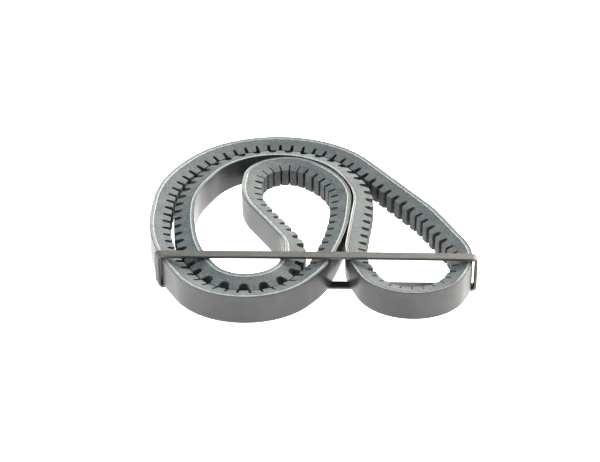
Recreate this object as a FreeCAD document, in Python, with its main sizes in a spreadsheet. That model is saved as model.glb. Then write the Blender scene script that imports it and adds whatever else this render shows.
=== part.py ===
# Raw-edge cogged V-belt, folded for storage and held by a flat rubber band.
# Millimetres, +Z up. The belt stands on one edge, so its 13 mm width is vertical.
# The fold is drawn in its own plane, then leaned back onto the band's lower run.

import FreeCAD, Part
import math
import os
import Sketcher
from FreeCAD import Placement, Rotation, Vector

UP = Vector(0, 0, 1)
NOTCH_OVERRUN = 0.15  # how far a notch cutter passes the cog tips, less than the strand gaps
SNAP = 0.01  # how close an edge must be to count as lying on a line

# Driving dimensions: alias, value, what it is.
DIMENSIONS = [
    ("belt_width", 13.0, "top width of the belt section"),
    ("belt_height", 9.0, "back to cog tip"),
    ("flank_angle", 16.0, "each raw edge, from square to the back"),
    ("outer_ply_depth", 0.4, "back to the bottom of the outer cover ply"),
    ("inner_ply_depth", 0.8, "back to the bottom of the inner cover ply"),
    ("cord_depth", 1.5, "back to the cord line, which keeps its length in every bend"),
    ("adhesion_depth", 2.3, "back to the bottom of the adhesion rubber"),
    ("notch_depth", 5.4, "back to the root of the notches between cogs"),
    ("cog_count", 153, "cogs round the loop"),
    ("notch_root", 2.0, "notch width near its root, belt straight"),
    ("notch_mouth", 2.6, "notch width at the cog tips, belt straight"),
    ("notch_closed", 0.6, "the least width a notch closes to in a tight bend"),
    ("cord_diameter", 0.9, "twisted tension cord"),
    ("cord_turns", 10, "turns of cord side by side across the belt"),
    ("cord_spacing", 1.2, "centre to centre of neighbouring turns"),
    ("band_thickness", 1.2, "flat rubber band"),
    ("band_width", 4.8, "flat rubber band"),
    ("band_length", 138.4, "outside of the stretched band, left to right"),
    ("band_height", 16.2, "outside of the stretched band, floor to top"),
    ("band_corner", 2.0, "outside corner radius of the band"),
    ("band_edge", 0.25, "rounding of the band's long edges"),
    ("band_x", 6.6, "middle of the band in the fold's plane"),
    ("band_y", -44.7, "middle of the band in the fold's plane"),
    ("band_skew", -1.1, "the band lies a little askew across the fold"),
    ("lean", 0.8, "lean of the belt, propped on the band at the front"),
    ("fold_x", -4.7, "fold's origin in the part's frame"),
    ("fold_y", 4.7, "fold's origin in the part's frame"),
]

# Each bend of the folded belt wraps an imaginary peg: centre x and y, radius of the
# cord line round it, and the way the belt turns there (1 left, -1 right). Straight
# tangents join the pegs. The route runs clockwise seen from above, cogs on its right.
PEGS = [
    ("front", -23.0, -42.5, 32.0, -1),
    ("left_low", 29.5, -8.0, 94.5, -1),
    ("left_high", 1.5, 3.0, 66.0, -1),
    ("top", -10.5, 16.5, 48.5, -1),
    ("right_run", 10.5, -27.5, 54.0, -1),
    ("bulb_right", 39.5, -42.0, 33.0, -1),
    ("bulb_front", 47.5, -48.5, 23.0, -1),
    ("inner_low", 63.0, -35.0, 42.0, -1),
    ("inner_rise", -19.0, 7.5, 44.5, 1),
    ("crown", -10.5, 17.0, 32.5, 1),
    ("shoulder", 7.0, 0.5, 55.5, 1),
    ("left_inner", 73.0, -3.5, 121.5, 1),
    ("left_inner_low", 23.5, -14.0, 71.0, 1),
    ("front_inner", -23.0, -42.5, 16.5, 1),
    ("turn_back", -32.5, -36.0, 27.5, 1),
    ("drop_left", 16.0, 19.5, 41.0, -1),
    ("drop_top", -6.0, 26.5, 18.5, -1),
    ("drop_right", -18.0, 9.0, 39.5, -1),
    ("drop_down", -120.5, 6.5, 141.5, -1),
    ("low_right", -32.0, -31.0, 46.0, -1),
]


def make_sheet(doc):
    sheet = doc.addObject("Spreadsheet::Sheet", "Dimensions")
    for row, (alias, value, note) in enumerate(DIMENSIONS, start=1):
        sheet.set(f"A{row}", alias)
        sheet.set(f"B{row}", str(value))
        sheet.set(f"C{row}", note)
        sheet.setAlias(f"B{row}", alias)
    doc.recompute()
    return sheet


# ---------------------------------------------------------------- the route

class Run:
    """One stretch of the cord line: a straight, or an arc round a peg."""

    def __init__(self, start, heading, length, turn=0, radius=None):
        self.start = start
        self.heading = heading
        self.length = length
        self.turn = turn
        self.radius = radius

    @property
    def inward(self):
        return right_of(self.heading)

    @property
    def centre(self):
        return self.start - self.inward * (self.turn * self.radius)

    @property
    def sweep(self):
        return self.turn * math.degrees(self.length / self.radius)

    def at(self, distance):
        """Point and heading at a distance along this run."""
        if not self.turn:
            return self.start + self.heading * distance, self.heading
        spin = Rotation(UP, self.sweep * distance / self.length)
        point = self.centre + spin.multVec(self.start - self.centre)
        return point, spin.multVec(self.heading)


def right_of(heading):
    return Vector(heading.y, -heading.x, 0)


def turn_between(before, after):
    """Angle from one heading to another, positive to the left."""
    return math.atan2(before.cross(after).z, before.dot(after))


def tangent(peg, following):
    """Leaving point, heading and length of the straight from one peg to the next."""
    _, x1, y1, radius1, turn1 = peg
    _, x2, y2, radius2, turn2 = following
    between = Vector(x2 - x1, y2 - y1, 0)
    across = turn2 * radius2 - turn1 * radius1
    length = math.sqrt(between.Length ** 2 - across ** 2)
    angle = math.atan2(between.y, between.x) - math.atan2(across, length)
    heading = Vector(math.cos(angle), math.sin(angle), 0)
    leaving = Vector(x1, y1, 0) + right_of(heading) * (turn1 * radius1)
    return leaving, heading, length


def make_route():
    """The closed cord line as runs: an arc round each peg, then its tangent."""
    runs = []
    straights = [tangent(PEGS[i], PEGS[(i + 1) % len(PEGS)]) for i in range(len(PEGS))]
    for i, (_, _, _, radius, turn) in enumerate(PEGS):
        last_leaving, heading_in, last_length = straights[i - 1]
        leaving, heading_out, length = straights[i]
        angle = turn_between(heading_in, heading_out)
        if angle * turn < 0:
            angle += turn * 2 * math.pi
        arc_start = last_leaving + heading_in * last_length
        runs.append(Run(arc_start, heading_in, abs(angle) * radius, turn, radius))
        runs.append(Run(leaving, heading_out, length))
    return runs


def loop_length(runs):
    return sum(run.length for run in runs)


def point_along(runs, distance):
    """Point and heading at a distance along the whole closed route."""
    distance %= loop_length(runs)
    for run in runs:
        if distance <= run.length:
            return run.at(distance)
        distance -= run.length
    return runs[0].at(0)


# ------------------------------------------------------------- belt layers

def flank(sheet, depth):
    """Heights of the two raw edges at a depth from the back."""
    half = sheet.belt_width / 2 - depth * math.tan(math.radians(sheet.flank_angle))
    return sheet.belt_width / 2 - half, sheet.belt_width / 2 + half


def cord_heights(sheet):
    """Heights of the cord turns, bottom to top."""
    middle = (sheet.cord_turns - 1) / 2
    return [sheet.belt_width / 2 + (i - middle) * sheet.cord_spacing for i in range(int(sheet.cord_turns))]


def placer(run, sheet):
    """Turns (depth from the back, height) into a point across the start of a run."""
    def place(depth, height):
        return run.start + run.inward * (depth - sheet.cord_depth) + UP * height
    return place


def straight(first, second):
    return Part.LineSegment(first, second).toShape()


def grooved_side(place, sheet, bulge):
    """A rubber layer's side at the cord line, with a half groove for each turn."""
    depth = sheet.cord_depth
    radius = sheet.cord_diameter / 2
    reached, high = flank(sheet, depth)
    edges = []
    for height in cord_heights(sheet):
        below, deepest, above = height - radius, depth + bulge * radius, height + radius
        edges.append(straight(place(depth, reached), place(depth, below)))
        edges.append(Part.Arc(place(depth, below), place(deepest, height), place(depth, above)).toShape())
        reached = above
    edges.append(straight(place(depth, reached), place(depth, high)))
    return edges


def layer_face(place, sheet, shallow, deep):
    """Trapezoid section between two depths, grooved where it meets the cords."""
    edges = []
    for depth, bulge in ((shallow, 1), (deep, -1)):
        low, high = flank(sheet, depth)
        if depth == sheet.cord_depth:
            edges += grooved_side(place, sheet, bulge)
        else:
            edges.append(straight(place(depth, low), place(depth, high)))
    for raw_edge in (0, 1):
        near, far = flank(sheet, shallow)[raw_edge], flank(sheet, deep)[raw_edge]
        edges.append(straight(place(shallow, near), place(deep, far)))
    return Part.Face(Part.Wire(Part.__sortEdges__(edges)))


def cord_face(place, sheet, height):
    centre = place(sheet.cord_depth, height)
    along = (place(1, 0) - place(0, 0)).cross(UP)
    return Part.Face(Part.Wire(Part.Circle(centre, along, sheet.cord_diameter / 2).toShape()))


def ring(runs, sheet, make_face):
    """Carries a section round the whole route and joins the stretches."""
    stretches = []
    for run in runs:
        face = make_face(placer(run, sheet))
        if run.turn:
            stretches.append(face.revolve(run.centre, UP, run.sweep))
        else:
            stretches.append(face.extrude(run.heading * run.length))
    return stretches[0].multiFuse(stretches[1:]).Solids[0]


def layer(runs, sheet, shallow, deep):
    return ring(runs, sheet, lambda place: layer_face(place, sheet, shallow, deep))


def cord_turn(runs, sheet, height):
    return ring(runs, sheet, lambda place: cord_face(place, sheet, height))


def notch(runs, sheet, distance, pitch):
    """Cutter for one notch. The cogs stay rigid, so a bend opens or closes it."""
    point, heading = point_along(runs, distance)
    _, before = point_along(runs, distance - pitch / 2)
    _, after = point_along(runs, distance + pitch / 2)
    bend = turn_between(before, after)
    inward = right_of(heading)

    def half(width, depth):
        return 0.5 * max(width + bend * depth, sheet.notch_closed)

    root = sheet.notch_depth - sheet.cord_depth
    shoulder = root + half(sheet.notch_root, root)
    tip = sheet.belt_height - sheet.cord_depth
    root_half = half(sheet.notch_root, shoulder)
    mouth_half = half(sheet.notch_mouth, tip)
    flare = (mouth_half - root_half) / (tip - shoulder)
    end = tip + NOTCH_OVERRUN
    end_half = mouth_half + flare * NOTCH_OVERRUN

    def at(depth, side):
        return point + inward * depth + heading * side

    mouth = [at(end, end_half), at(end, -end_half)]
    shoulders = [at(shoulder, -root_half), at(shoulder, root_half)]
    root_arc = Part.Arc(shoulders[0], at(root, 0), shoulders[1]).toShape()
    sides = [straight(mouth[1], shoulders[0]), root_arc, straight(shoulders[1], mouth[0])]
    outline = Part.Wire([straight(*mouth)] + sides)
    return Part.Face(outline).extrude(UP * sheet.belt_width)


def notch_cutters(runs, sheet):
    pitch = loop_length(runs) / sheet.cog_count
    places = [(i + 0.5) * pitch for i in range(int(sheet.cog_count))]
    return Part.makeCompound([notch(runs, sheet, place, pitch) for place in places])


def belt_placement(sheet):
    """Leans the belt so its back edge stands on the floor behind the band."""
    _, _, top_y, top_radius, _ = next(peg for peg in PEGS if peg[0] == "top")
    rear = top_y + top_radius + sheet.cord_depth
    lift = rear * math.sin(math.radians(sheet.lean))
    return Placement(Vector(sheet.fold_x, sheet.fold_y, lift), Rotation(Vector(-1, 0, 0), sheet.lean))


def add_shape(doc, name, shape):
    feature = doc.addObject("Part::Feature", name)
    feature.Shape = shape
    return feature


def make_belt(doc, sheet):
    """Every bonded layer of the belt, from its back to its cogs."""
    runs = make_route()
    plies = {
        "back_cover_outer_ply": (0.0, sheet.outer_ply_depth),
        "back_cover_inner_ply": (sheet.outer_ply_depth, sheet.inner_ply_depth),
        "cushion_rubber": (sheet.inner_ply_depth, sheet.cord_depth),
        "adhesion_rubber": (sheet.cord_depth, sheet.adhesion_depth),
    }
    parts = [add_shape(doc, name, layer(runs, sheet, *depths)) for name, depths in plies.items()]
    for number, height in enumerate(cord_heights(sheet), start=1):
        parts.append(add_shape(doc, f"tension_cord_turn_{number:02d}", cord_turn(runs, sheet, height)))
    cogs = doc.addObject("Part::Cut", "compression_body")
    blank = layer(runs, sheet, sheet.adhesion_depth, sheet.belt_height)
    cogs.Base = add_shape(doc, "compression_blank", blank)
    cogs.Tool = add_shape(doc, "notches", notch_cutters(runs, sheet))
    parts.append(cogs)
    doc.recompute()
    for part in parts:
        part.Placement = belt_placement(sheet)
    print(f"cord line {loop_length(runs):.1f} mm, cog pitch {loop_length(runs) / sheet.cog_count:.3f} mm")
    return parts


# ---------------------------------------------------------- retaining band

def rectangle_sketch(body, name, walls):
    """Rectangle across the band's loop: its outside, or its inside two walls smaller."""
    plane = next(f for f in body.Origin.OriginFeatures if f.Role == "XZ_Plane")
    sketch = body.newObject("Sketcher::SketchObject", name)
    sketch.AttachmentSupport = [(plane, "")]
    sketch.MapMode = "FlatFace"
    corners = [Vector(-1, 1, 0), Vector(1, 1, 0), Vector(1, 2, 0), Vector(-1, 2, 0)]
    for i in range(4):
        sketch.addGeometry(Part.LineSegment(corners[i], corners[(i + 1) % 4]))
    for i in range(4):
        sketch.addConstraint(Sketcher.Constraint("Coincident", i, 2, (i + 1) % 4, 1))
    for line, direction in ((1, "Vertical"), (2, "Horizontal"), (3, "Vertical")):
        sketch.addConstraint(Sketcher.Constraint(direction, line))
    sketch.addConstraint(Sketcher.Constraint("Symmetric", 0, 1, 0, 2, -2))
    both_walls = f"{walls} * Dimensions.band_thickness"
    sizes = [
        (Sketcher.Constraint("DistanceX", 0, 1, 0, 2, 2), f"Dimensions.band_length - {both_walls}"),
        (Sketcher.Constraint("DistanceY", 1, 1, 1, 2, 1), f"Dimensions.band_height - {both_walls}"),
    ]
    if walls:
        sizes.append((Sketcher.Constraint("DistanceY", -1, 1, 0, 1, 1), "Dimensions.band_thickness"))
    else:
        sketch.addConstraint(Sketcher.Constraint("PointOnObject", 0, 1, -1))
    for constraint, size in sizes:
        index = sketch.addConstraint(constraint)
        sketch.setExpression(f"Constraints[{index}]", size)
    return sketch


def edge_names(shape, wanted):
    return [f"Edge{i}" for i, edge in enumerate(shape.Edges, start=1) if wanted(edge)]


def along_width(edge):
    return edge.Curve.TypeId == "Part::GeomLine" and abs(edge.Curve.Direction.y) > 0.99


def add_fillet(doc, body, name, wanted, radius):
    doc.recompute()
    base = body.Tip
    fillet = body.newObject("PartDesign::Fillet", name)
    fillet.Base = (base, edge_names(base.Shape, wanted))
    fillet.setExpression("Radius", radius)


def make_band(doc, sheet):
    body = doc.addObject("PartDesign::Body", "retaining_band")
    outside = body.newObject("PartDesign::Pad", "band_outside")
    outside.Profile = rectangle_sketch(body, "outside_outline", 0)
    outside.setExpression("Length", "Dimensions.band_width")
    outside.Midplane = True
    inside = body.newObject("PartDesign::Pocket", "band_inside")
    inside.Profile = rectangle_sketch(body, "inside_outline", 2)
    inside.Type = "ThroughAll"
    inside.Midplane = True
    outer_side = sheet.band_length / 2
    inner_side = outer_side - sheet.band_thickness

    def outer_corner(edge):
        return along_width(edge) and abs(edge.CenterOfMass.x) > outer_side - SNAP

    def inner_corner(edge):
        return along_width(edge) and abs(abs(edge.CenterOfMass.x) - inner_side) < SNAP

    def long_edge(edge):
        return not along_width(edge)

    add_fillet(doc, body, "outer_corners", outer_corner, "Dimensions.band_corner")
    add_fillet(doc, body, "inner_corners", inner_corner, "Dimensions.band_corner - Dimensions.band_thickness")
    add_fillet(doc, body, "rounded_edges", long_edge, "Dimensions.band_edge")
    doc.recompute()
    place = Vector(sheet.band_x + sheet.fold_x, sheet.band_y + sheet.fold_y, 0)
    body.Placement = Placement(place, Rotation(UP, sheet.band_skew))
    return body


# ------------------------------------------------------------------- output

def check(doc, parts):
    doc.recompute()
    for item in doc.Objects:
        if {"Invalid", "Error"} & set(item.State):
            raise RuntimeError(f"{item.Label} failed: {item.State}")
    for part in parts:
        if part.Shape.isNull() or not part.Shape.isValid() or len(part.Shape.Solids) != 1:
            raise RuntimeError(f"{part.Label} is not one good solid")


def export(parts):
    for part in parts:
        part.Shape.exportStep(os.path.join("parts", f"{part.Label}.step"))
        print(f"{part.Label}: {part.Shape.Volume / 1000:.3f} cm3")


def main():
    os.makedirs("parts", exist_ok=True)
    doc = FreeCAD.newDocument("folded_v_belt")
    sheet = make_sheet(doc)
    parts = make_belt(doc, sheet) + [make_band(doc, sheet)]
    check(doc, parts)
    export(parts)


main()
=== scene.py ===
import math

import bmesh
import bpy
from mathutils import Matrix, Vector


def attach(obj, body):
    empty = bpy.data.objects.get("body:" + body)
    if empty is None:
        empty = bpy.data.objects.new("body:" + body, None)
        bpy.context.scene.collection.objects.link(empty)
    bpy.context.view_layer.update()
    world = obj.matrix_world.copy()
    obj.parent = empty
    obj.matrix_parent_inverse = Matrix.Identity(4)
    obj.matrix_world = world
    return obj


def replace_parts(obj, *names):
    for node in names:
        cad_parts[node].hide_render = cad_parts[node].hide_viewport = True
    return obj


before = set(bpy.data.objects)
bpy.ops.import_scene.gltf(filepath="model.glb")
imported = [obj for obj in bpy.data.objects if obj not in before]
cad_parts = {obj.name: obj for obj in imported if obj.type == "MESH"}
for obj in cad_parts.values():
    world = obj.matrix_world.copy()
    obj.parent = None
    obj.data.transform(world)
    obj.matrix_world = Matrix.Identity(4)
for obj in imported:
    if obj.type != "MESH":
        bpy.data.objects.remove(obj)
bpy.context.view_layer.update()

# Raw-edge cogged V-belt, folded for storage and held by a flat rubber band.
# Sizes are in millimetres and become metres as each mesh is written.

mm = 0.001
sharpAngle = 32              # degrees, past which an edge stays sharp
weldDistance = 1e-7          # metres

belt = {
    "width": 13.0,
    "height": 9.0,
    "flankAngle": 16.0,
    "outerPly": 0.4,         # depths are from the belt's back
    "innerPly": 0.8,
    "cordLine": 1.5,
    "adhesion": 2.3,
    "layerStep": 0.05,       # how far each layer's corner is worn back at the raw edge
    "cordGroove": 0.2,       # the same at the cord line
    "backRounding": 0.22,
    "roundingSteps": 4,
    "backColumns": 8,
    "station": 0.8,          # spacing of the mesh along the loop
    "lean": 0.8,             # degrees, propped on the band at the front
    "foldX": -4.7,
    "foldY": 4.7,
}

# Each bend of the fold wraps an imaginary peg: centre x and y, radius of the cord
# line, and the way the belt turns there (1 left, -1 right). Cogs are on the right.
bends = (
    ("front", -23.0, -42.5, 32.0, -1),
    ("leftLow", 29.5, -8.0, 94.5, -1),
    ("leftHigh", 1.5, 3.0, 66.0, -1),
    ("top", -10.5, 16.5, 48.5, -1),
    ("rightRun", 10.5, -27.5, 54.0, -1),
    ("bulbRight", 39.5, -42.0, 33.0, -1),
    ("bulbFront", 47.5, -48.5, 23.0, -1),
    ("innerLow", 63.0, -35.0, 42.0, -1),
    ("innerRise", -19.0, 7.5, 44.5, 1),
    ("crown", -10.5, 17.0, 32.5, 1),
    ("shoulder", 7.0, 0.5, 55.5, 1),
    ("leftInner", 73.0, -3.5, 121.5, 1),
    ("leftInnerLow", 23.5, -14.0, 71.0, 1),
    ("frontInner", -23.0, -42.5, 16.5, 1),
    ("turnBack", -32.5, -36.0, 27.5, 1),
    ("dropLeft", 16.0, 19.5, 41.0, -1),
    ("dropTop", -6.0, 26.5, 18.5, -1),
    ("dropRight", -18.0, 9.0, 39.5, -1),
    ("dropDown", -120.5, 6.5, 141.5, -1),
    ("lowRight", -32.0, -31.0, 46.0, -1),
)


# The route of the cord line

def rightOf(heading):
    return Vector((heading.y, -heading.x, 0))


def turnBetween(before, after):
    return math.atan2(before.cross(after).z, before.dot(after))


def tangent(bend, following):
    _, x1, y1, radius1, turn1 = bend
    _, x2, y2, radius2, turn2 = following
    across = turn2 * radius2 - turn1 * radius1
    between = Vector((x2 - x1, y2 - y1, 0))
    length = math.sqrt(between.length_squared - across ** 2)
    angle = math.atan2(between.y, between.x) - math.atan2(across, length)
    heading = Vector((math.cos(angle), math.sin(angle), 0))
    return Vector((x1, y1, 0)) + rightOf(heading) * (turn1 * radius1), heading, length


def makeRoute():
    straights = [tangent(bends[i], bends[(i + 1) % len(bends)]) for i in range(len(bends))]
    made, begins = [], 0.0
    for i, (name, _, _, radius, turn) in enumerate(bends):
        lastLeaving, headingIn, lastLength = straights[i - 1]
        leaving, headingOut, length = straights[i]
        angle = turnBetween(headingIn, headingOut)
        if angle * turn < 0:
            angle += turn * 2 * math.pi
        arcLength = abs(angle) * radius
        arcStart = lastLeaving + headingIn * lastLength
        made.append((name, begins, arcLength, arcStart, headingIn, turn / radius))
        made.append((name, begins + arcLength, length, leaving, headingOut, 0.0))
        begins += arcLength + length
    return made, begins


route, loopLength = makeRoute()


def spot(distance):
    # point, heading and inward direction on the cord line
    distance %= loopLength
    for _, begins, length, start, heading, curve in route:
        if distance <= begins + length:
            break
    gone = distance - begins
    if not curve:
        return start + heading * gone, heading, rightOf(heading)
    spin = Matrix.Rotation(curve * gone, 3, "Z")
    centre = start - rightOf(heading) / curve
    turned = spin @ heading
    return centre + spin @ (start - centre), turned, rightOf(turned)


rearBend = next(bend for bend in bends if bend[0] == "top")
leanAngle = math.radians(belt["lean"])
lift = (rearBend[2] + rearBend[3] + belt["cordLine"]) * math.sin(leanAngle)
middle = belt["width"] / 2


def stand(point, height):
    # from the fold's own plane to the leaned belt, in metres
    y = point.y * math.cos(leanAngle) + height * math.sin(leanAngle)
    z = height * math.cos(leanAngle) - point.y * math.sin(leanAngle) + lift
    return Vector((point.x + belt["foldX"], y + belt["foldY"], z)) * mm


def halfWidth(depth):
    return middle - depth * math.tan(math.radians(belt["flankAngle"]))


# Mesh making

def finishMesh(name, points, faces, places, body, materials, whichMaterial=None):
    # places holds one (along, height, depth) per face corner, in millimetres, and
    # whichMaterial one index into materials per face
    mesh = bpy.data.meshes.new(name)
    mesh.from_pydata(points, [], faces)
    if whichMaterial:
        mesh.polygons.foreach_set("material_index", whichMaterial)
    layer = mesh.attributes.new("beltPlace", "FLOAT_VECTOR", "CORNER")
    layer.data.foreach_set("vector", [value for place in places for value in place])
    joined = bmesh.new()
    joined.from_mesh(mesh)
    bmesh.ops.remove_doubles(joined, verts=joined.verts, dist=weldDistance)
    bmesh.ops.recalc_face_normals(joined, faces=joined.faces)
    joined.to_mesh(mesh)
    joined.free()
    mesh.shade_smooth()
    mesh.set_sharp_from_angle(angle=math.radians(sharpAngle))
    for material in materials:
        mesh.materials.append(material)
    piece = bpy.data.objects.new(name, mesh)
    bpy.context.scene.collection.objects.link(piece)
    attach(piece, body)
    return piece


def quadBetween(ring, following, k, size):
    # from point k to the next, between two rings of size points
    after = (k + 1) % size
    return ring * size + k, ring * size + after, following * size + after, following * size + k


def sweepRing(name, outline, material, step):
    # outline(distance) gives the section's (depth, height) points at that distance
    count = round(loopLength / step)
    points, faces, places = [], [], []
    rings = []
    for i in range(count):
        distance = i * loopLength / count
        point, _, inward = spot(distance)
        section = outline(distance)
        for depth, height in section:
            points.append(stand(point + inward * (depth - belt["cordLine"]), height))
        rings.append([(distance, height, depth) for depth, height in section])
    size = len(rings[0])
    for i in range(count):
        following = (i + 1) % count
        ahead = rings[following][0][0] + (loopLength if following == 0 else 0.0)
        for k in range(size):
            after = (k + 1) % size
            faces.append(quadBetween(i, following, k, size))
            places += [rings[i][k], rings[i][after]]
            places += [(ahead,) + rings[following][point][1:] for point in (after, k)]
    return finishMesh(name, points, faces, places, "belt", [material])


def layerOutline(shallow, deep):
    # a trapezoid whose corners are worn back, most at the cord line, where it leaves a groove
    def outline(distance):
        sideways = []
        for depth, into in ((shallow, 1), (deep, -1)):
            worn = belt["cordGroove"] if depth == belt["cordLine"] else belt["layerStep"]
            inner = depth + into * worn
            corner = [(depth, halfWidth(depth) - worn), (inner, halfWidth(inner))]
            sideways += corner[::into]
        upper = [(depth, middle + half) for depth, half in sideways]
        lower = [(depth, middle - half) for depth, half in reversed(sideways)]
        return upper + lower
    return outline


def backOutline(distance):
    # the outer ply, rounded where the back meets each raw edge
    rounding, deep = belt["backRounding"], belt["outerPly"]
    corner = []
    for i in range(belt["roundingSteps"] + 1):
        angle = math.pi / 2 * i / belt["roundingSteps"]
        depth = rounding * (1 - math.sin(angle))
        corner.append((depth, halfWidth(depth) - rounding * (1 - math.cos(angle))))
    sideways = corner[::-1] + [(deep, halfWidth(deep) - belt["layerStep"])]
    upper = [(depth, middle + half) for depth, half in sideways]
    lower = [(depth, middle - half) for depth, half in reversed(sideways)]
    columns = belt["backColumns"]
    across = [(0.0, middle - halfWidth(0) + i * belt["width"] / columns) for i in range(1, columns)]
    return upper + lower + across


# Materials

def colour(code):
    # sRGB hex to linear
    values = [int(code[i:i + 2], 16) / 255 for i in (1, 3, 5)]
    return [v / 12.92 if v <= 0.04045 else ((v + 0.055) / 1.055) ** 2.4 for v in values] + [1.0]


def node(tree, kind, inputs=None, **settings):
    made = tree.nodes.new(kind)
    for name, value in settings.items():
        setattr(made, name, value)
    for name, value in (inputs or {}).items():
        if isinstance(value, bpy.types.NodeSocket):
            tree.links.new(value, made.inputs[name])
        else:
            made.inputs[name].default_value = value
    return made


def startMaterial(name, look):
    material = bpy.data.materials.new(name)
    material.use_nodes = True
    tree = material.node_tree
    shader = tree.nodes["Principled BSDF"]
    shader.inputs["Roughness"].default_value = look["roughness"]
    shader.inputs["IOR"].default_value = look["ior"]
    return material, tree, shader


def spread(tree, source, low, high, toLow=0.0, toHigh=1.0):
    ranges = {"Value": source, "From Min": low, "From Max": high, "To Min": toLow, "To Max": toHigh}
    return node(tree, "ShaderNodeMapRange", ranges).outputs["Result"]


def blendColour(tree, factor, first, second):
    inputs = {0: factor, 6: first, 7: second}
    return node(tree, "ShaderNodeMix", inputs, data_type="RGBA").outputs[2]


def beltPlaceOf(tree, stretch=(1, 1, 1)):
    # along, height and depth in millimetres, stretched for grain that runs one way
    place = node(tree, "ShaderNodeAttribute", attribute_name="beltPlace")
    scaled = {0: place.outputs["Vector"], 1: stretch}
    return node(tree, "ShaderNodeVectorMath", scaled, operation="MULTIPLY").outputs[0]


def noise(tree, where, size, detail=3.0, roughness=0.6):
    inputs = {"Vector": where, "Scale": 1 / size, "Detail": detail, "Roughness": roughness}
    return node(tree, "ShaderNodeTexNoise", inputs).outputs["Fac"]


def bump(tree, shader, height, depth, strength=1.0, under=None):
    inputs = {"Height": height, "Distance": depth * mm, "Strength": strength}
    if under:
        inputs["Normal"] = under
    made = node(tree, "ShaderNodeBump", inputs).outputs["Normal"]
    tree.links.new(made, shader.inputs["Normal"])
    return made


backFabric = {
    "colour": "#232423",
    "dust": "#373936",
    "roughness": 0.33,
    "polished": 0.28,        # the least rough places, and the roughest
    "dulled": 0.43,
    "ior": 1.52,
    "grime": 14.0,           # size of the handled patches
    "streak": 0.9,           # width of the rub marks, and how they are drawn out along the belt
    "streakStretch": (0.06, 1, 1),
    "thread": 0.45,          # thread width of the weave
    "unevenness": 0.6,       # of the threads
    "grain": 0.35,
}


def makeBackFabric():
    # Nylon fabric rubbed full of chloroprene, moulded against a polished drum: a dark
    # satin skin with its threads just showing, dulled in soft patches by handling.
    look = backFabric
    material, tree, shader = startMaterial("rubberisedNylonFabric", look)
    place = beltPlaceOf(tree)
    grime = spread(tree, noise(tree, place, look["grime"], detail=4.0), 0.35, 0.7)
    streak = noise(tree, beltPlaceOf(tree, look["streakStretch"]), look["streak"], detail=2.0)
    dusty = spread(tree, streak, 0.4, 0.75, toHigh=0.25)
    base = blendColour(tree, grime, colour(look["colour"]), colour(look["dust"]))
    dusted = blendColour(tree, dusty, base, colour(look["dust"]))
    tree.links.new(dusted, shader.inputs["Base Color"])
    rough = spread(tree, grime, 0, 1, look["polished"], look["dulled"])
    tree.links.new(rough, shader.inputs["Roughness"])
    # cut on the bias, so the threads cross the belt at 45 degrees, two wide to show
    pitch = 2 * look["thread"]
    threads = []
    for turn in (45, -45):
        spun = node(tree, "ShaderNodeVectorRotate", {"Vector": place, "Angle": math.radians(turn)},
                    rotation_type="Z_AXIS")
        wave = {"Vector": spun.outputs[0], "Scale": 1 / pitch / math.pi,
                "Distortion": look["unevenness"], "Detail": 1.0}
        threads.append(node(tree, "ShaderNodeTexWave", wave, bands_direction="X").outputs["Fac"])
    weave = node(tree, "ShaderNodeMath", {0: threads[0], 1: threads[1]}, operation="MAXIMUM")
    skin = bump(tree, shader, weave.outputs[0], depth=0.02, strength=0.35)
    grain = noise(tree, place, look["grain"], detail=4.0)
    bump(tree, shader, grain, depth=0.02, strength=0.5, under=skin)
    return material


cutRubber = {
    "colour": "#3b4244",
    "fibre": "#788183",
    "pore": "#181a1b",
    "fleck": 0.5,            # size of the fibre ends
    "roughness": 0.78,
    "ior": 1.5,
}
rimRubber = {
    "colour": "#686d6c",
    "fibre": "#959b99",
    "pore": "#363a39",
    "fleck": 0.45,
    "roughness": 0.78,
    "ior": 1.5,
}
sawing = {
    "patch": 9.0,            # size of the paler patches
    "line": 0.3,             # width of the grinding lines, and how they are drawn out
    "lineStretch": (0.05, 1, 1),
    "poreStretch": (0.8, 1, 1.3),
    "poreSize": 0.6,         # as shares of the fleck
    "pitSize": 0.7,
}


def makeCutRubber(name, look):
    # Chloroprene full of short chopped fibres, sawn and ground on this face: dead matt,
    # with pale fibre ends standing in it and dark pores where fibres pulled out.
    material, tree, shader = startMaterial(name, look)
    place, fleck = beltPlaceOf(tree), look["fleck"]
    ends = spread(tree, noise(tree, place, fleck, roughness=0.7), 0.5, 0.72)
    pulled = noise(tree, beltPlaceOf(tree, sawing["poreStretch"]), sawing["poreSize"] * fleck,
                   detail=2.0, roughness=0.8)
    pores = spread(tree, pulled, 0.56, 0.7)
    drift = spread(tree, noise(tree, place, sawing["patch"]), 0.3, 0.7, toHigh=0.3)
    base = blendColour(tree, drift, colour(look["colour"]), colour(look["fibre"]))
    fibred = blendColour(tree, ends, base, colour(look["fibre"]))
    pitted = blendColour(tree, pores, fibred, colour(look["pore"]))
    tree.links.new(pitted, shader.inputs["Base Color"])
    # grinding lines run along the belt
    lines = noise(tree, beltPlaceOf(tree, sawing["lineStretch"]), sawing["line"], detail=2.0)
    ground = bump(tree, shader, lines, depth=0.04, strength=0.5)
    pits = noise(tree, place, fleck * sawing["pitSize"], detail=4.0, roughness=0.7)
    bump(tree, shader, pits, depth=0.08, strength=0.8, under=ground)
    return material


mouldedRubber = {
    "colour": "#2a2c2c",
    "dust": "#484b49",
    "bloom": 2.5,            # size of its patches
    "grain": 0.4,
    "roughness": 0.6,
    "ior": 1.52,
}


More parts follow.
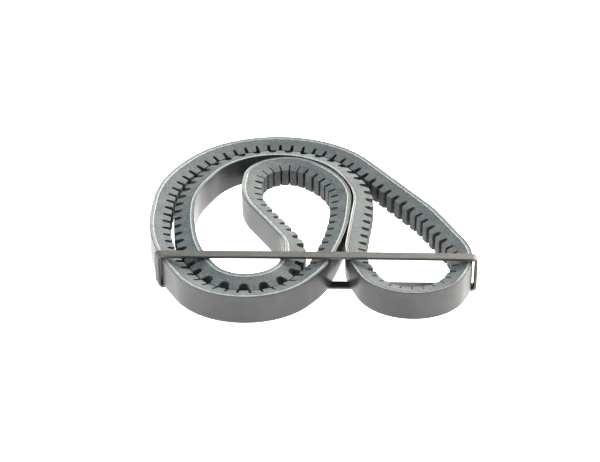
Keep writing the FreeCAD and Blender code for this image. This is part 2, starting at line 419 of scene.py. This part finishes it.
def makeMouldedRubber():
    # The same rubber where the mould pressed it: smooth and darker, with a dusty bloom.
    look = mouldedRubber
    material, tree, shader = startMaterial("mouldedChloroprene", look)
    place = beltPlaceOf(tree)
    bloom = spread(tree, noise(tree, place, look["bloom"], detail=5.0), 0.4, 0.75)
    base = blendColour(tree, bloom, colour(look["colour"]), colour(look["dust"]))
    tree.links.new(base, shader.inputs["Base Color"])
    bump(tree, shader, noise(tree, place, look["grain"]), depth=0.04, strength=0.5)
    return material


cordFibre = {
    "colour": "#93a8a2",
    "shade": "#58645f",
    "fibre": 0.36,
    "roughness": 0.62,
    "ior": 1.55,
    "sheen": 0.25,
}


def makeCordFibre():
    # Twisted polyester cord, dipped and heat set: pale, slightly silky threads.
    look = cordFibre
    material, tree, shader = startMaterial("twistedPolyesterCord", look)
    shader.inputs["Sheen Weight"].default_value = look["sheen"]
    place = node(tree, "ShaderNodeTexCoord").outputs["Object"]
    inMillimetres = node(tree, "ShaderNodeVectorMath", {0: place, 1: (1 / mm,) * 3},
                         operation="MULTIPLY")
    threads = noise(tree, inMillimetres.outputs[0], look["fibre"], detail=4.0)
    shaded = spread(tree, threads, 0.45, 0.75)
    base = blendColour(tree, shaded, colour(look["colour"]), colour(look["shade"]))
    tree.links.new(base, shader.inputs["Base Color"])
    bump(tree, shader, threads, depth=0.03, strength=0.5)
    return material


bandRubber = {
    "colour": "#4a4a46",
    "line": "#2f2f2c",
    "dust": "#62625e",
    "spacing": 0.55,         # of the die lines, and how they are drawn out along the band
    "lineStretch": (0.03, 1, 1),
    "cloud": 5.0,            # size of the dusty patches
    "grain": 0.3,
    "roughness": 0.62,
    "ior": 1.52,
}


def makeBandRubber():
    # Natural rubber, extruded as a tube and sliced: taupe, with die lines along it.
    look = bandRubber
    material, tree, shader = startMaterial("slicedNaturalRubber", look)
    place = beltPlaceOf(tree)
    lines = noise(tree, beltPlaceOf(tree, look["lineStretch"]), look["spacing"])
    cloud = spread(tree, noise(tree, place, look["cloud"], detail=4.0), 0.35, 0.75, toHigh=0.35)
    lined = spread(tree, lines, 0.35, 0.7)
    base = blendColour(tree, lined, colour(look["colour"]), colour(look["line"]))
    dusted = blendColour(tree, cloud, base, colour(look["dust"]))
    tree.links.new(dusted, shader.inputs["Base Color"])
    fine = bump(tree, shader, lines, depth=0.06, strength=0.6)
    bump(tree, shader, noise(tree, place, look["grain"]), depth=0.02, strength=0.5, under=fine)
    return material


fabricMaterial = makeBackFabric()
cutMaterial = makeCutRubber("cutFibreChloroprene", cutRubber)
rimMaterial = makeCutRubber("cutCordRubber", rimRubber)
mouldedMaterial = makeMouldedRubber()
cordMaterial = makeCordFibre()
bandMaterial = makeBandRubber()
print("materials made")


# The belt's bonded layers

layers = (
    ("back_ply_outer", backOutline, "back_cover_outer_ply", "cover_ply", fabricMaterial),
    ("back_ply_inner", layerOutline(belt["outerPly"], belt["innerPly"]), "back_cover_inner_ply",
     "cover_ply", rimMaterial),
    ("cushion_layer", layerOutline(belt["innerPly"], belt["cordLine"]), "cushion_rubber",
     "cord_rubber", rimMaterial),
    ("adhesion_layer", layerOutline(belt["cordLine"], belt["adhesion"]), "adhesion_rubber",
     "cord_rubber", cutMaterial),
)
for name, outline, cadNode, slot, material in layers:
    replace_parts(sweepRing(name, outline, material, belt["station"]), cadNode)
print("belt layers made")


# The cord's first and last turns, sawn open along the raw edges

edgeCord = {
    "depth": 1.55,
    "halfBreadth": 0.36,
    "halfHeight": 0.3,
    "proud": 0.1,            # above the raw edge where the saw laid it open
    "covered": -0.3,         # below it where the groove has closed over it
    "strands": 3,
    "twist": 5.0,            # one turn of the strands
    "lobe": 0.09,
    "around": 18,            # points round the section
    "station": 0.6,
    "fade": 9.0,             # over which it goes from open to covered
    "coveredFromTo": (("bulbFront", "innerRise"), ("dropTop", "dropTop")),
}


def bendReach(first, last):
    begins = [part[1] for part in route if part[0] == first]
    ends = [part[1] + part[2] for part in route if part[0] == last]
    return begins[0], ends[-1]


def exposure(distance):
    # 1 where the cord lies open, 0 where it is covered, with a soft step between
    hidden = 0.0
    for first, last in edgeCord["coveredFromTo"]:
        begins, ends = bendReach(first, last)
        inside = min(distance - begins, ends - distance) / edgeCord["fade"]
        hidden = max(hidden, min(max(inside, 0), 1))
    return 1 - hidden


def edgeCordOutline(side):
    def outline(distance):
        shown = exposure(distance)
        rise = edgeCord["proud"] * shown + edgeCord["covered"] * (1 - shown)
        centre = halfWidth(edgeCord["depth"]) + rise - edgeCord["halfHeight"]
        spin = 2 * math.pi * distance * round(loopLength / edgeCord["twist"]) / loopLength
        section = []
        for i in range(edgeCord["around"]):
            angle = 2 * math.pi * i / edgeCord["around"]
            reach = 1 + edgeCord["lobe"] * math.cos(edgeCord["strands"] * angle - spin)
            depth = edgeCord["depth"] + edgeCord["halfBreadth"] * reach * math.cos(angle)
            across = centre + edgeCord["halfHeight"] * reach * math.sin(angle)
            section.append((depth, middle + side * across))
        return section
    return outline


edgeCords = (
    ("edge_cord_upper", 1, "tension_cord_turn_10"),
    ("edge_cord_lower", -1, "tension_cord_turn_01"),
)
for name, side, cadNode in edgeCords:
    cord = sweepRing(name, edgeCordOutline(side), cordMaterial, edgeCord["station"])
    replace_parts(cord, cadNode)
for name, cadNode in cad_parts.items():
    if name.startswith("tension_cord_turn"):
        cadNode.data.materials.clear()
        cadNode.data.materials.append(cordMaterial)
print("cords made")


# The compression rubber with its moulded cogs

cogs = {
    "count": 153,
    "rootDepth": 5.4,
    "rootWidth": 2.0,
    "mouthWidth": 2.6,
    "closedWidth": 0.6,      # the least a notch closes to in a tight bend
    "tipRounding": 0.38,
    "columns": 8,
    "rootSteps": 6,
    "sideSteps": 3,
    "tipSteps": 4,
}
cogPitch = loopLength / cogs["count"]


def halfNotch(number, side):
    # the notch's wall from the middle of its root to the edge of the cog's tip face
    distance = (number + 0.5) * cogPitch
    point, heading, inward = spot(distance)
    bend = turnBetween(spot(distance - cogPitch / 2)[1], spot(distance + cogPitch / 2)[1])

    def half(width, depth):
        return 0.5 * max(width + bend * depth, cogs["closedWidth"])

    root, tip = cogs["rootDepth"] - belt["cordLine"], belt["height"] - belt["cordLine"]
    shoulder = root + half(cogs["rootWidth"], root)
    rootHalf, mouthHalf = half(cogs["rootWidth"], shoulder), half(cogs["mouthWidth"], tip)
    rounding = cogs["tipRounding"]
    path = []
    for i in range(cogs["rootSteps"]):
        angle = math.pi / 2 * i / cogs["rootSteps"]
        path.append((rootHalf * math.sin(angle), shoulder - (shoulder - root) * math.cos(angle)))
    lower = tip - rounding
    draft = (mouthHalf - rootHalf) / (tip - shoulder)
    for i in range(cogs["sideSteps"]):
        depth = shoulder + (lower - shoulder) * i / cogs["sideSteps"]
        path.append((rootHalf + draft * (depth - shoulder), depth))
    edge = rootHalf + draft * (lower - shoulder)
    for i in range(cogs["tipSteps"] + 1):
        angle = math.pi / 2 * i / cogs["tipSteps"]
        path.append((edge + rounding * (1 - math.cos(angle)), lower + rounding * math.sin(angle)))
    return [(point + inward * depth + heading * (side * offset), depth + belt["cordLine"],
             distance + side * offset) for offset, depth in path]


def makeCompressionBody():
    points, faces, places, whichMaterial = [], [], [], []
    columns = cogs["columns"]

    def addFace(rows, moulded):
        faces.append([index for index, _ in rows])
        places.extend(place for _, place in rows)
        whichMaterial.append(1 if moulded else 0)

    for number in range(cogs["count"]):
        left, right = halfNotch(number, 1), halfNotch(number + 1, -1)
        grid = []
        start, end = (number + 0.5) * cogPitch, (number + 1.5) * cogPitch
        backRow = []
        for c in range(columns + 1):
            distance = start + (end - start) * c / columns
            point, _, inward = spot(distance)
            top = point + inward * (belt["adhesion"] - belt["cordLine"])
            backRow.append((top, belt["adhesion"], distance))
        grid.append(backRow)
        for (a, depthA, alongA), (b, depthB, alongB) in zip(left, right):
            row = []
            for c in range(columns + 1):
                share = c / columns
                row.append((a.lerp(b, share), depthA + (depthB - depthA) * share,
                            alongA + (alongB - alongA) * share))
            grid.append(row)
        sides = []
        for side in (1, -1):
            level = []
            for row in grid:
                line = []
                for point, depth, distance in row:
                    height = middle + side * halfWidth(depth)
                    line.append((len(points), (distance, height, depth)))
                    points.append(stand(point, height))
                level.append(line)
            sides.append(level)
        upper, lower = sides
        for r in range(len(grid) - 1):
            for c in range(columns):
                for level in sides:
                    quad = [level[r][c], level[r][c + 1], level[r + 1][c + 1], level[r + 1][c]]
                    addFace(quad, False)
        for c in range(columns):
            addFace([upper[0][c], upper[0][c + 1], lower[0][c + 1], lower[0][c]], False)
            addFace([upper[-1][c], upper[-1][c + 1], lower[-1][c + 1], lower[-1][c]], True)
        for r in range(1, len(grid) - 1):
            for c in (0, columns):
                addFace([upper[r][c], upper[r + 1][c], lower[r + 1][c], lower[r][c]], True)
    return finishMesh("cogged_compression_body", points, faces, places, "belt",
                      [cutMaterial, mouldedMaterial], whichMaterial)


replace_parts(makeCompressionBody(), "compression_body")
print("cogs made")


# The rubber band

band = {
    "length": 138.4,
    "height": 16.2,
    "width": 4.8,
    "thickness": 1.2,
    "corner": 2.0,
    "cornerSteps": 8,
    "edge": 0.28,
    "edgeSteps": 6,
    "x": 6.6,
    "y": -44.7,
    "skew": -1.1,
    "ridges": 7,
    "ridgeDepth": 0.035,
    "ridgeSteps": 8,
    "bow": 0.5,              # the long runs bow back a little over the belt
    "legTwist": 22.0,        # the left leg turns to lie along the belt's back
    "twistReach": 9.0,       # how far along the runs the turn fades out
    "step": 1.2,
}


def bandPath():
    # the band's outside, as (x, z, outward x, outward z) round the loop
    long, high, corner = band["length"] / 2, band["height"], band["corner"]
    stations = []
    corners = ((1, high - corner, 90), (1, corner, 0), (-1, corner, -90), (-1, high - corner, -180))
    for side, z, begin in corners:
        centreX = side * (long - corner)
        for k in range(band["cornerSteps"] + 1):
            angle = math.radians(begin - 90 * k / band["cornerSteps"])
            stations.append((centreX, z, math.cos(angle), math.sin(angle)))
    dense = []
    for i, (x, z, nx, nz) in enumerate(stations):
        dense.append((x + nx * corner, z + nz * corner, nx, nz))
        x2, z2, nx2, nz2 = stations[(i + 1) % len(stations)]
        if (x, z) == (x2, z2):
            continue
        startX, startZ = x + nx * corner, z + nz * corner
        alongX, alongZ = x2 + nx2 * corner - startX, z2 + nz2 * corner - startZ
        steps = int(math.hypot(alongX, alongZ) / band["step"])
        for k in range(1, steps):
            dense.append((startX + alongX * k / steps, startZ + alongZ * k / steps, nx, nz))
    return dense


def bandSection():
    # (across the width, down from the outside), with die ridges on both flat faces
    half, thick, edge = band["width"] / 2, band["thickness"], band["edge"]
    section = []
    steps, edgeSteps = band["ridges"] * band["ridgeSteps"], band["edgeSteps"]
    for i in range(steps + 1):
        share = i / steps
        ridge = band["ridgeDepth"] * (0.5 - 0.5 * math.cos(2 * math.pi * band["ridges"] * share))
        section.append((-half + edge + (2 * half - 2 * edge) * share, ridge))
    for i in range(1, edgeSteps):
        angle = math.pi / 2 * i / edgeSteps
        section.append((half - edge + edge * math.sin(angle), edge - edge * math.cos(angle)))
    for i in range(edgeSteps):
        angle = math.pi / 2 * i / edgeSteps
        down = thick - edge + edge * math.sin(angle)
        section.append((half - edge + edge * math.cos(angle), down))
    lower = [(-across, thick - down) for across, down in section]
    return section + lower


def makeBand():
    path, section = bandPath(), bandSection()
    turn = Matrix.Rotation(math.radians(band["skew"]), 3, "Z")
    origin = Vector((band["x"] + belt["foldX"], band["y"] + belt["foldY"], 0))
    points, faces, places, distances = [], [], [], [0.0]
    for before, after in zip(path, path[1:] + path[:1]):
        distances.append(distances[-1] + math.hypot(after[0] - before[0], after[1] - before[1]))
    for x, z, nx, nz in path:
        bow = band["bow"] * (1 - (2 * x / band["length"]) ** 2)
        share = min(max((band["twistReach"] - band["length"] / 2 - x) / band["twistReach"], 0), 1)
        twist = math.radians(band["legTwist"]) * share * share * (3 - 2 * share)
        for across, down in section:
            ahead = band["width"] / 2 - across
            local = Vector((x - nx * down + ahead * math.sin(twist),
                            across + bow + ahead * (1 - math.cos(twist)), z - nz * down))
            points.append((origin + turn @ local) * mm)
    size = len(section)
    for i in range(len(path)):
        following = (i + 1) % len(path)
        for k in range(size):
            after = (k + 1) % size
            faces.append(quadBetween(i, following, k, size))
            for step, point in ((i, k), (i, after), (i + 1, after), (i + 1, k)):
                places.append((distances[step], section[point][0], section[point][1]))
    return finishMesh("rubber_band", points, faces, places, "band", [bandMaterial])


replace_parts(makeBand(), "retaining_band")
print("band made")


# Floor, light and camera

studio = {
    "distance": 899.5,       # from the middle of the fold
    "elevation": 30.45,      # above the belt's own leaned plane
    "lens": 120.0,
    "floor": 4000.0,
    "floorGap": 0.1,         # under the belt, so that the faces never coincide
    "air": "#e4eeff",
    "airStrength": 0.35,
}
opalAcrylic = {
    "colour": "#f4f4f4",
    "grain": "#f0f0f0",
    "grainSize": 20.0,
    "roughness": 0.9,
    "ior": 1.5,
    "glow": 2.0,
}


def makeOpalAcrylic():
    # A pale opal sheet on a table lit from below: matt, and it leaves almost no shadow.
    look = opalAcrylic
    material, tree, shader = startMaterial("opalAcrylicSheet", look)
    grain = noise(tree, node(tree, "ShaderNodeTexCoord").outputs["Object"], look["grainSize"] * mm)
    base = blendColour(tree, grain, colour(look["colour"]), colour(look["grain"]))
    tree.links.new(base, shader.inputs["Base Color"])
    shader.inputs["Emission Color"].default_value = colour(look["colour"])
    shader.inputs["Emission Strength"].default_value = look["glow"]
    return material


bpy.ops.mesh.primitive_plane_add(size=studio["floor"] * mm,
                                 location=(0, 0, -studio["floorGap"] * mm))
floor = bpy.context.object
floor.name = "floor"
floor.data.materials.append(makeOpalAcrylic())

world = bpy.data.worlds.new("studio")
world.use_nodes = True
world.node_tree.nodes["Background"].inputs["Color"].default_value = colour(studio["air"])
world.node_tree.nodes["Background"].inputs["Strength"].default_value = studio["airStrength"]
bpy.context.scene.world = world
bpy.context.scene.view_settings.view_transform = "Standard"

# each lamp's name, place and size in metres, watts and tint, all pointing at the belt
softboxes = (
    ("keyBehindRight", (0.75, 1.0, 0.56), 0.8, 60.0, "#fffaf0"),
    ("left", (-1.0, -0.15, 0.5), 0.7, 15.0, "#fffcf8"),
    ("right", (1.0, -0.1, 0.5), 0.7, 9.0, "#fffdfa"),
)
target = stand(Vector((0, 0, 0)), 0)
for name, place, size, watts, tint in softboxes:
    lamp = bpy.data.lights.new(name, "AREA")
    lamp.shape = "SQUARE"
    lamp.size = size
    lamp.energy = watts
    lamp.color = colour(tint)[:3]
    holder = bpy.data.objects.new(name, lamp)
    holder.location = place
    holder.rotation_euler = (Vector(place) - target).to_track_quat("Z", "Y").to_euler()
    bpy.context.scene.collection.objects.link(holder)

cameraData = bpy.data.cameras.new("camera")
cameraData.lens = studio["lens"]
camera = bpy.data.objects.new("camera", cameraData)
tilt = math.radians(studio["elevation"])
back, high = studio["distance"] * math.cos(tilt), studio["distance"] * math.sin(tilt)
camera.location = stand(Vector((0, -back, 0)), high)
camera.rotation_euler = (camera.location - target).to_track_quat("Z", "Y").to_euler()
bpy.context.scene.collection.objects.link(camera)
bpy.context.scene.camera = camera
print("studio made")
